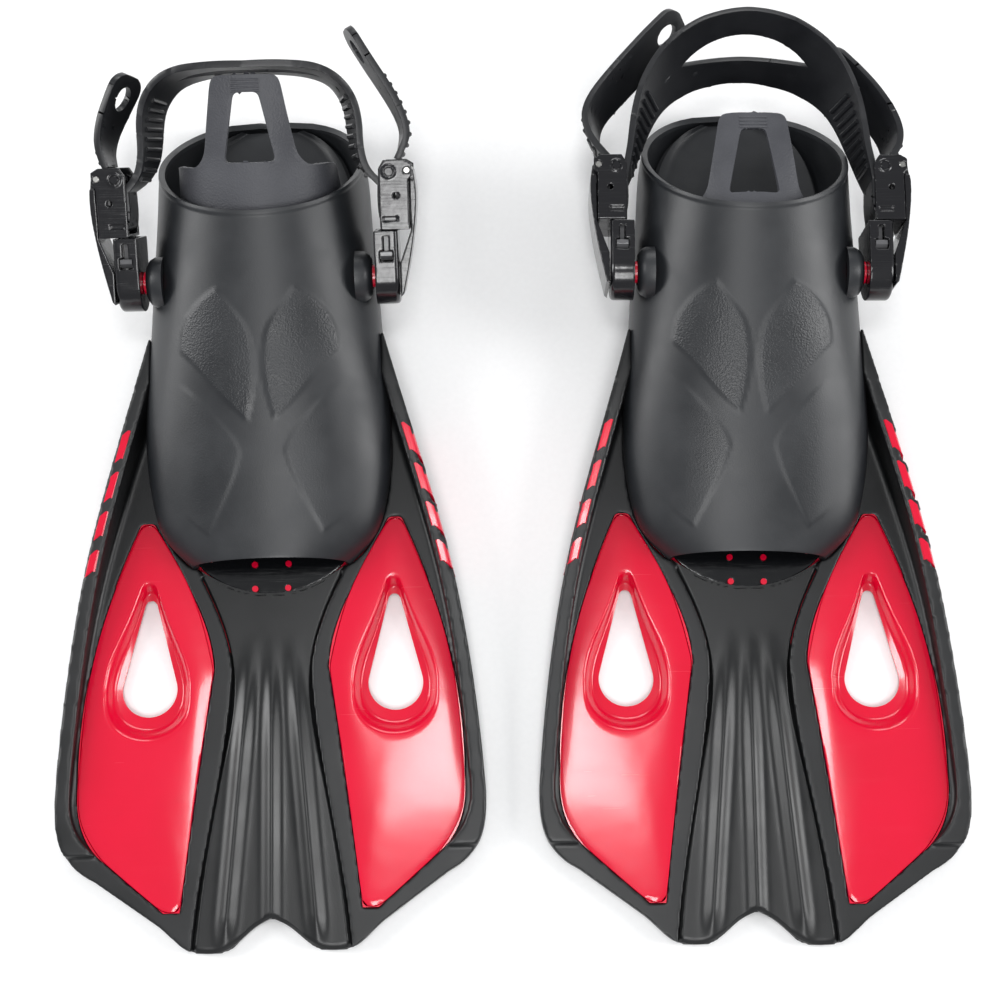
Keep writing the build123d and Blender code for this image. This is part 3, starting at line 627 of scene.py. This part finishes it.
def make_pocket(fin):
    """Foot pocket: soft shell with embossed leaves on the vamp, open at toe and heel."""
    stations = np.array(POCKET)
    flat = [(0.84 * q, 0.0, 0.0) for q in np.linspace(0, 1, 12)[:-1]]
    flank = [(0.84 + 0.16 * math.sin(q) ** 0.9, 1 - math.cos(q), 0.0)
             for q in np.linspace(0, math.pi / 2, 18)[:-1]]
    arch = [(math.cos(q), 1.0, math.sin(q)) for q in np.linspace(0, math.pi / 2, 74)]
    half_lines = flat + flank + arch
    lines = half_lines + [(-a, b, c) for a, b, c in reversed(half_lines[:-1])]
    lines = np.array(lines)
    weight = np.concatenate([np.ones(110), np.linspace(1, 0.02, 50)])
    steps = np.concatenate([[0], np.cumsum(weight)]) / weight.sum()

    def shape_at(line, y):
        half = spline(stations[:, 0], stations[:, 1], np.maximum(y, 181))
        tall = spline(stations[:, 0], stations[:, 2], np.maximum(y, 181))
        closing = np.clip((y - 360) / 58.0, 0, 1) ** 2.6
        half = half * (1 - closing) ** (1 / 2.6)
        widest = 0.35 * tall
        z = line[1] * widest + line[2] * (tall - widest)
        return line[0] * half, z

    slope = (RIM_BACK[1] - RIM_FRONT[1]) / (RIM_BACK[0] - RIM_FRONT[0])
    grid = np.zeros((len(steps), len(lines), 3))
    for j, line in enumerate(lines):
        sole = line[1] == 0 and line[2] == 0
        begin = 167.2 + 13.5 * (line[0] * 38 / 36) ** 2 if sole else 181.0
        begin = 181.0 - (181.0 - begin) * (1 - ramp(line[1] * 36, 0, 6)) if sole else begin
        trial = np.linspace(330, RIM_BACK[0], 1500)
        z = shape_at(line, trial)[1]
        above = z > RIM_FRONT[1] + slope * (trial - RIM_FRONT[0])
        finish = trial[np.argmax(above)] if above.any() else RIM_BACK[0]
        y = begin + (finish - begin) * steps
        x, z = shape_at(line, y)
        grid[:, j] = np.stack([x, y, z], -1)
    # outward normals of the grid
    along = np.gradient(grid, axis=0)
    around = np.gradient(grid, axis=1)
    normal = np.cross(around, along)
    normal /= np.maximum(np.linalg.norm(normal, axis=-1, keepdims=True), 1e-9)
    crown = len(half_lines) - 1
    if normal[40, crown, 2] < 0:
        normal = -normal
    x, y, z = grid[..., 0], grid[..., 1], grid[..., 2]
    on_top = z > 18
    leaf = inside(np.abs(x), y, LEAF)
    patch = inside(np.abs(x), y, PATCH)
    outwards = 1 - ramp(np.abs(x), 30, 42)
    raise_by = 0.38 * ramp(leaf, -0.5, 0.6) + 0.3 * ramp(patch, -0.5, 0.6) * outwards
    to_rim = (grid[-1, :, 1][None] - y)
    raise_by = np.where(on_top, raise_by, 0)
    raise_by = raise_by + 0.45 * (1 - ramp(to_rim, 1.2, 3.2)) * (z > 9)
    fade = 1 - ramp(np.abs(x), 26, 42)
    grain = np.where(on_top, ramp(leaf, 0.2, 1.2) + 0.35 * ramp(patch, 0.2, 1.2) * fade, 0)
    grid = grid + normal * raise_by[..., None]
    rows, cols = grid.shape[:2]
    faces = [[i * cols + j, i * cols + j + 1, (i + 1) * cols + j + 1, (i + 1) * cols + j]
             for i in range(rows - 1) for j in range(cols - 1)]
    data = bpy.data.meshes.new(f"{fin}_pocket_shell")
    data.from_pydata([tuple(v) for v in placed(fin, grid.reshape(-1, 3))], [], faces)
    mark = data.attributes.new("grain", "FLOAT", "POINT")
    mark.data.foreach_set("value", grain.ravel().astype(np.float32))
    piece = bpy.data.objects.new(f"{fin}_pocket_shell", data)
    bpy.context.scene.collection.objects.link(piece)
    tidy(piece, 1e-5)
    top = max(piece.data.polygons, key=lambda f: f.center.z - abs(f.center.y) * 0.01)
    skin = piece.modifiers.new("thickness", "SOLIDIFY")
    skin.thickness = WALL * MM
    skin.offset = -1.0 if top.normal.z > 0 else 1.0
    soft = piece.modifiers.new("edge", "BEVEL")
    soft.width, soft.segments, soft.limit_method = 0.7 * MM, 2, "ANGLE"
    soft.angle_limit = math.radians(55)
    return applied(piece)


def make_lug_bosses(fin):
    """Rubber collars that the pocket's sides carry round the strap lugs."""
    parts = []
    turn = np.linspace(0, 2 * math.pi, 64, endpoint=False)
    section = [(46.0, 6.4), (46.0, 12.5), (50.2, 12.2), (52.6, 10.8), (54.0, 8.6), (54.3, 6.4)]
    for side in (1, -1):
        verts = [(side * x, LUG_Y + r * math.cos(a), LUG_Z + r * math.sin(a))
                 for x, r in section for a in turn]
        n, m = len(turn), len(section)
        faces = [[i * n + j, i * n + (j + 1) % n, (i + 1) % m * n + (j + 1) % n, (i + 1) % m * n + j]
                 for i in range(m) for j in range(n)]
        parts.append(to_mesh("boss", placed(fin, np.array(verts)), faces))
    return joined(f"{fin}_lug_bosses", parts)


def make_inner_sole(fin):
    """Raised floor inside the pocket, behind the insole plate."""
    u, v = np.meshgrid(np.linspace(-1, 1, 40), np.linspace(0, 1, 90))
    y = 186 + 227 * v
    half = spline([p[0] for p in POCKET], [p[1] for p in POCKET], y) - 5.0
    half = half * (1 - np.clip((y - 355) / 60.0, 0, 1) ** 2.6) ** (1 / 2.6) * 0.9
    x = u * half
    top = np.stack([x, y, np.full_like(x, 5.9) + 2.0 * ramp(np.abs(u), 0.8, 1.0)], -1)
    bottom = np.stack([x, y, np.full_like(x, 2.0)], -1)
    return slab(f"{fin}_inner_sole", fin, top, bottom)


# ---- tongue -----------------------------------------------------------------
def make_tongue(fin):
    """Instep tongue: arched sheet with curled sides, and a pull tab with a window."""
    slope, out = math.radians(FINS[fin]["tongue_slope"]), FINS[fin]["tongue_reach"]
    low = math.radians(INSTEP_SLOPE)
    tip = out + 41.0
    wide = 62.0
    sheet = np.array([
        (-wide, -58), (wide, -58), (wide, out - 16), (wide - 7, out - 4), (wide - 19, out - 1.5),
        (28.0, out - 2.0), (22.5, out + 3.5), (16.0, tip), (-16.0, tip), (-22.5, out + 3.5),
        (-28.0, out - 2.0), (-wide + 19, out - 1.5), (-wide + 7, out - 4), (-wide, out - 16),
    ])
    window = np.array([(-12.2, out + 0.8), (12.2, out + 0.8), (5.8, out + 33), (-5.8, out + 33)])
    loops = [rounded_loop(sheet, 300, 8), rounded_loop(window, 110, 8)]

    def bend(flat):
        u, w = flat[:, 0], flat[:, 1]
        turn = low + (slope - low) * ramp(w, -9, 9)
        table = np.linspace(-60, 80, 800)
        angle = low + (slope - low) * ramp(table, -9, 9)
        zero = np.searchsorted(table, 0)
        run_y = np.cumsum(np.cos(angle)) * (table[1] - table[0])
        run_z = np.cumsum(np.sin(angle)) * (table[1] - table[0])
        y = TONGUE_BEND[0] + np.interp(w, table, run_y - run_y[zero])
        z = TONGUE_BEND[1] + np.interp(w, table, run_z - run_z[zero])
        radius = 41.0
        phi = u / radius
        across, drop = radius * np.sin(phi), radius * (1 - np.cos(phi)) + 0.5
        # the tab lies flatter than the arch it grows from
        flatter = ramp(w, out - 4, out + 30)
        drop = drop * (1 - 0.55 * flatter)
        # the free corners curl inwards
        curl = ramp(np.abs(u), 40, wide) * ramp(w, out - 40, out)
        across = across * (1 - 0.1 * curl)
        return np.stack([across, y - drop * -np.sin(turn), z - drop * np.cos(turn)], 1)

    piece = bent_sheet(f"{fin}_tongue_sheet", fin, loops, (3.0, 3.0), bend, 2.0, 0.5)
    ribs = []
    for i in range(4):
        flat = np.array([(q, tip - 2.4 - 1.7 * i) for q in (-6.0, 6.0)])
        ends = bend(flat)
        up = np.array([0, -math.sin(slope), math.cos(slope)]) * 0.95
        ribs.append((ends.mean(0) + up, ends[1] - ends[0]))
    return piece, ribs


# ---- straps -----------------------------------------------------------------
def path_frame(stations, turned):
    """Centre line, thickness and width directions along a strap, by length."""
    stations = np.array(stations, float)
    run = lengths(stations[:, :2])
    at = np.linspace(0, run[-1], 600)
    line = spline(run, stations[:, :2], at)
    ahead = np.gradient(line, axis=0)
    ahead /= np.linalg.norm(ahead, axis=1, keepdims=True)
    outward = np.stack([ahead[:, 1], -ahead[:, 0], np.zeros(len(at))], 1) * turned
    lean = np.radians(np.interp(at, run, stations[:, 2]))
    up = np.array([0, 0, 1.0])
    thin = outward * np.cos(lean)[:, None] - up * np.sin(lean)[:, None]
    wide = outward * np.sin(lean)[:, None] + up * np.cos(lean)[:, None]
    centre = np.column_stack([line, np.zeros(len(at))])
    width = np.interp(at, run, stations[:, 3])
    return at, centre, thin, wide, width


def strap_piece(name, fin, path, holes, rounded_end):
    """One run of strap, cut flat with its holes and bent along its path."""
    at, centre, _, wide, width = path
    end = at[-1]
    s = np.linspace(0, end, 160)
    half = np.interp(s, at, width) / 2 - 0.1
    if rounded_end:
        half = half * np.sqrt(np.clip(1 - np.clip((s - end + 9) / 9.6, 0, 1) ** 2.6, 0, 1))
    outline = np.vstack([np.column_stack([s, -half]), np.column_stack([s, half])[::-1]])

    def bend(flat):
        def pick(table):
            return np.stack([np.interp(flat[:, 0], at, table[:, k]) for k in range(3)], 1)
        return swung(fin, pick(centre) + pick(wide) * flat[:, 1:2])

    return bent_sheet(name, fin, [outline] + holes, (2.2, 4.0), bend, STRAP_THICK - 0.1, 0.6)


def fold_stations(side):
    """The strap's fold round the crossbar, from the inner run to the free end."""
    bar_x, bar_y = LUG_X + 8.5, 30.0
    away = 2.3 + 0.15 + STRAP_THICK / 2
    fold = [(side * (bar_x - away), bar_y + 14, 0, STRAP_WIDTH)]
    for i in range(9):
        turn = math.radians(180 + 22.5 * i)
        x, y = bar_x + away * math.cos(turn), bar_y + away * math.sin(turn)
        fold.append((side * x, y, 0, STRAP_WIDTH))
    return fold + [(side * (bar_x + away), 55.0, 0, STRAP_WIDTH)]


def rib_run(fin, path, start, stop, pitch, face):
    """Places and directions of the moulded teeth on one face of a strap."""
    at, centre, thin, wide, _ = path
    ribs = []
    for s in np.arange(start, stop, pitch):
        def pick(table):
            return np.array([np.interp(s, at, table[:, k]) for k in range(3)])
        middle = pick(centre) + pick(thin) * face * STRAP_THICK / 2
        ends = swung(fin, np.array([middle - pick(wide), middle + pick(wide)]))
        ribs.append((ends.mean(0), ends[1] - ends[0]))
    return ribs


def make_strap(fin):
    """Heel strap: a two-band heel cup, folds through both buckles and free tails."""
    loop = HEEL_LOOPS[fin]
    other = [(-x, y, lean, width) for x, y, lean, width in reversed(loop[:-1])]
    stations = [fold_stations(1)[0]] + loop + other + [fold_stations(-1)[0]]
    path = path_frame(stations, 1)
    middle = path[0][-1] / 2
    q = np.linspace(-1, 1, 50)
    lens = np.vstack([
        np.column_stack([middle + 34 * q, 8.0 * (1 - np.abs(q) ** 2.2)]),
        np.column_stack([middle - 34 * q, -8.0 * (1 - np.abs(q) ** 2.2)])[1:-1],
    ])
    parts = [strap_piece("heel loop", fin, path, [lens], False)]
    ribs = []
    for start in (8.0, path[0][-1] - 46.0):
        ribs += rib_run(fin, path, start, start + 38.0, 4.6, -1)
    for name in ("inner", "outer"):
        side = FINS[fin]["side"] * (1 if name == "outer" else -1)
        # the outward side of the path flips with its direction of travel
        fold = path_frame(fold_stations(side), side)
        parts.append(strap_piece("fold", fin, fold, [], False))
        tail = [fold_stations(side)[-1]]
        tail += [(side * x, y, lean, STRAP_WIDTH) for x, y, lean in TAILS[fin, name]]
        tail_path = path_frame(tail, side)
        end = tail_path[0][-1]
        turn = np.linspace(0, 2 * math.pi, 40, endpoint=False)
        hole = np.column_stack([end - 11.5 + 6.2 * np.cos(turn), 4.9 * np.sin(turn)])
        parts.append(strap_piece("tail", fin, tail_path, [hole], True))
        ribs += rib_run(fin, tail_path, 3.0, min(40.0, end - 20), 4.6, 1)
    return joined(f"{fin}_strap_band", parts), ribs


# ---- ribs: Geometry Nodes ---------------------------------------------------
def rib_tree():
    """Node tree that stands a rounded rib on every point, turned by its attribute."""
    tree = bpy.data.node_groups.new("moulded ribs", "GeometryNodeTree")
    sockets = tree.interface
    sockets.new_socket("Geometry", in_out="INPUT", socket_type="NodeSocketGeometry")
    sockets.new_socket("Length", in_out="INPUT", socket_type="NodeSocketFloat")
    sockets.new_socket("Radius", in_out="INPUT", socket_type="NodeSocketFloat")
    sockets.new_socket("Material", in_out="INPUT", socket_type="NodeSocketMaterial")
    sockets.new_socket("Geometry", in_out="OUTPUT", socket_type="NodeSocketGeometry")
    inputs, output = tree.nodes.new("NodeGroupInput"), tree.nodes.new("NodeGroupOutput")
    rod = tree.nodes.new("GeometryNodeMeshCylinder")
    rod.inputs["Vertices"].default_value = 8
    turn = tree.nodes.new("GeometryNodeInputNamedAttribute")
    turn.data_type = "FLOAT_VECTOR"
    turn.inputs["Name"].default_value = "turn"
    stand = tree.nodes.new("GeometryNodeInstanceOnPoints")
    real = tree.nodes.new("GeometryNodeRealizeInstances")
    paint = tree.nodes.new("GeometryNodeSetMaterial")
    for source, target in (
        (inputs.outputs["Length"], rod.inputs["Depth"]),
        (inputs.outputs["Radius"], rod.inputs["Radius"]),
        (inputs.outputs["Geometry"], stand.inputs["Points"]),
        (rod.outputs["Mesh"], stand.inputs["Instance"]),
        (turn.outputs["Attribute"], stand.inputs["Rotation"]),
        (stand.outputs["Instances"], real.inputs["Geometry"]),
        (real.outputs["Geometry"], paint.inputs["Geometry"]),
        (inputs.outputs["Material"], paint.inputs["Material"]),
        (paint.outputs["Geometry"], output.inputs["Geometry"]),
    ):
        tree.links.new(source, target)
    return tree


RIBS = rib_tree()


def make_ribs(name, fin, ribs, length, radius, material):
    """Ribs from their middles and directions."""
    data = bpy.data.meshes.new(name)
    places = placed(fin, np.array([middle for middle, run in ribs]))
    ends = placed(fin, np.array([middle + run for middle, run in ribs]))
    data.from_pydata([tuple(p) for p in places], [], [])
    turns = data.attributes.new("turn", "FLOAT_VECTOR", "POINT")
    angles = [Vector(e - p).to_track_quat("Z", "Y").to_euler() for p, e in zip(places, ends)]
    turns.data.foreach_set("vector", np.array([tuple(a) for a in angles]).ravel())
    piece = bpy.data.objects.new(name, data)
    bpy.context.scene.collection.objects.link(piece)
    grow = piece.modifiers.new("ribs", "NODES")
    grow.node_group = RIBS
    names = {item.name: item.identifier for item in RIBS.interface.items_tree
             if item.in_out == "INPUT"}
    grow[names["Length"]] = length * MM
    grow[names["Radius"]] = radius * MM
    grow[names["Material"]] = material
    return applied(piece)


# ---- build both fins --------------------------------------------------------
for fin in FINS:
    body = f"{fin}_fin"
    for side in (1, -1):
        dressed(make_panel(fin, side), RED, body)
    dressed(make_core_rest(fin), RED, body, [f"{fin}_blade_core"])
    dressed(moulded(f"{fin}_blade_frame", 1.0, 3), FRAME_RUBBER, body,
            [f"{fin}_blade_frame"], 60)
    dressed(make_rail_windows(fin), RED, body)
    dressed(make_channel(fin), CHANNEL_RUBBER, body, [f"{fin}_centre_channel"])
    dressed(make_pocket(fin), POCKET_RUBBER, body, [f"{fin}_foot_pocket"])
    dressed(make_lug_bosses(fin), POCKET_RUBBER, body)
    dressed(make_inner_sole(fin), POCKET_RUBBER, body)
    dressed(moulded(f"{fin}_footbed", 0.6, 2), INSOLE, body, [f"{fin}_footbed"])
    tongue, grips = make_tongue(fin)
    dressed(tongue, TONGUE_RUBBER, f"{fin}_tongue", [f"{fin}_instep_tongue"])
    dressed(make_ribs(f"{fin}_tab_grips", fin, grips, 13.0, 0.55, TONGUE_RUBBER), TONGUE_RUBBER,
            f"{fin}_tongue")
    strap, teeth = make_strap(fin)
    dressed(strap, STRAP_RUBBER, f"{fin}_strap", [f"{fin}_heel_strap"])
    dressed(make_ribs(f"{fin}_strap_teeth", fin, teeth, 16.0, 1.25, STRAP_RUBBER), STRAP_RUBBER,
            f"{fin}_strap")
    for place in ("outer", "inner"):
        pre = f"{fin}_{place}"
        for part, rider in (("swivel_clip", f"{pre}_clip"), ("strap_frame", f"{fin}_strap"),
                            ("cam_lever", f"{pre}_lever"), ("lug_cap", body)):
            dressed(moulded(f"{pre}_{part}", 0.4, 1), BUCKLE, rider,
                    [f"{pre}_{part}"], 50)
        for part, material in (("upper_prong", PRONG_GLINT_GREY), ("lower_prong", PRONG_GLINT_GREY), ("strap_roller", BUCKLE),
                               ("lever_pin", STEEL), ("lever_spring", STEEL)):
            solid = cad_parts[f"{pre}_{part}"]
            solid.data.materials.clear()
            solid.data.materials.append(material)


# ---- studio -----------------------------------------------------------------
def pale_floor():
    """Matt white paper sweep."""
    m, shader, place = blank("matt white paper")
    fibre = node(m, "ShaderNodeTexNoise", {"Vector": place, "Scale": 400.0, "Detail": 4.0})
    tone = node(m, "ShaderNodeMix", {0: fibre.outputs["Fac"], 6: linear("#FAFAFA"), 7: linear("#F4F4F4")},
                data_type="RGBA")
    link(m, tone.outputs[2], shader.inputs["Base Color"])
    shader.inputs["Roughness"].default_value = 0.9
    return m


def area_light(name, place, aim, size, power):
    """Soft box that looks at a point."""
    data = bpy.data.lights.new(name, "AREA")
    data.shape, data.size, data.size_y, data.energy = "RECTANGLE", size[0], size[1], power
    lamp = bpy.data.objects.new(name, data)
    lamp.location = place
    lamp.rotation_euler = (Vector(aim) - Vector(place)).to_track_quat("-Z", "Y").to_euler()
    bpy.context.scene.collection.objects.link(lamp)


floor_mesh = bpy.data.meshes.new("floor")
corners = [(x * 6, y * 6, -0.0004) for x, y in ((-1, -1), (1, -1), (1, 1), (-1, 1))]
floor_mesh.from_pydata(corners, [], [(0, 1, 2, 3)])
floor = bpy.data.objects.new("floor", floor_mesh)
bpy.context.scene.collection.objects.link(floor)
floor_mesh.materials.append(pale_floor())

# one soft box at the toe side draws the band down each foot pocket; a small one over
# the gap between the fins gives the inner panels their hard glints
area_light("toe side", (0.0, -1.15, 1.75), (0, 0.05, 0), (0.42, 0.9), 16)
area_light("glint", (0.0, 0.0, 1.5), (0, 0, 0), (0.3, 0.2), 3.6)
area_light("window left", (-1.9, 0.3, 1.0), (0, 0, 0), (0.7, 1.4), 24)
area_light("window right", (1.9, -0.1, 1.0), (0, 0, 0), (0.7, 1.4), 24)
area_light("heel side", (0.0, 1.9, 1.1), (0, 0.1, 0), (1.6, 0.5), 14)
world = bpy.data.worlds.new("pale room")
world.use_nodes = True
world.node_tree.nodes["Background"].inputs["Color"].default_value = linear("#F2F4F7")
world.node_tree.nodes["Background"].inputs["Strength"].default_value = 0.42
bpy.context.scene.world = world
bpy.context.scene.view_settings.view_transform = "Standard"

# the camera looks down from the toe side, 862 mm away
DISTANCE, ELEVATION, ROLL = 0.862, math.radians(75.6), math.radians(-0.84)
target = Vector((-4.0, -8.9, 0)) * MM
back = Vector((0, -math.cos(ELEVATION), math.sin(ELEVATION)))
camera_data = bpy.data.cameras.new("camera")
camera_data.sensor_width, camera_data.lens = 36.0, 62.45
camera = bpy.data.objects.new("camera", camera_data)
camera.location = target + back * DISTANCE
camera.rotation_euler = ((-back).to_track_quat("-Z", "Y").to_matrix()
                         @ Matrix.Rotation(ROLL, 3, "Z")).to_euler()
bpy.context.scene.collection.objects.link(camera)
bpy.context.scene.camera = camera
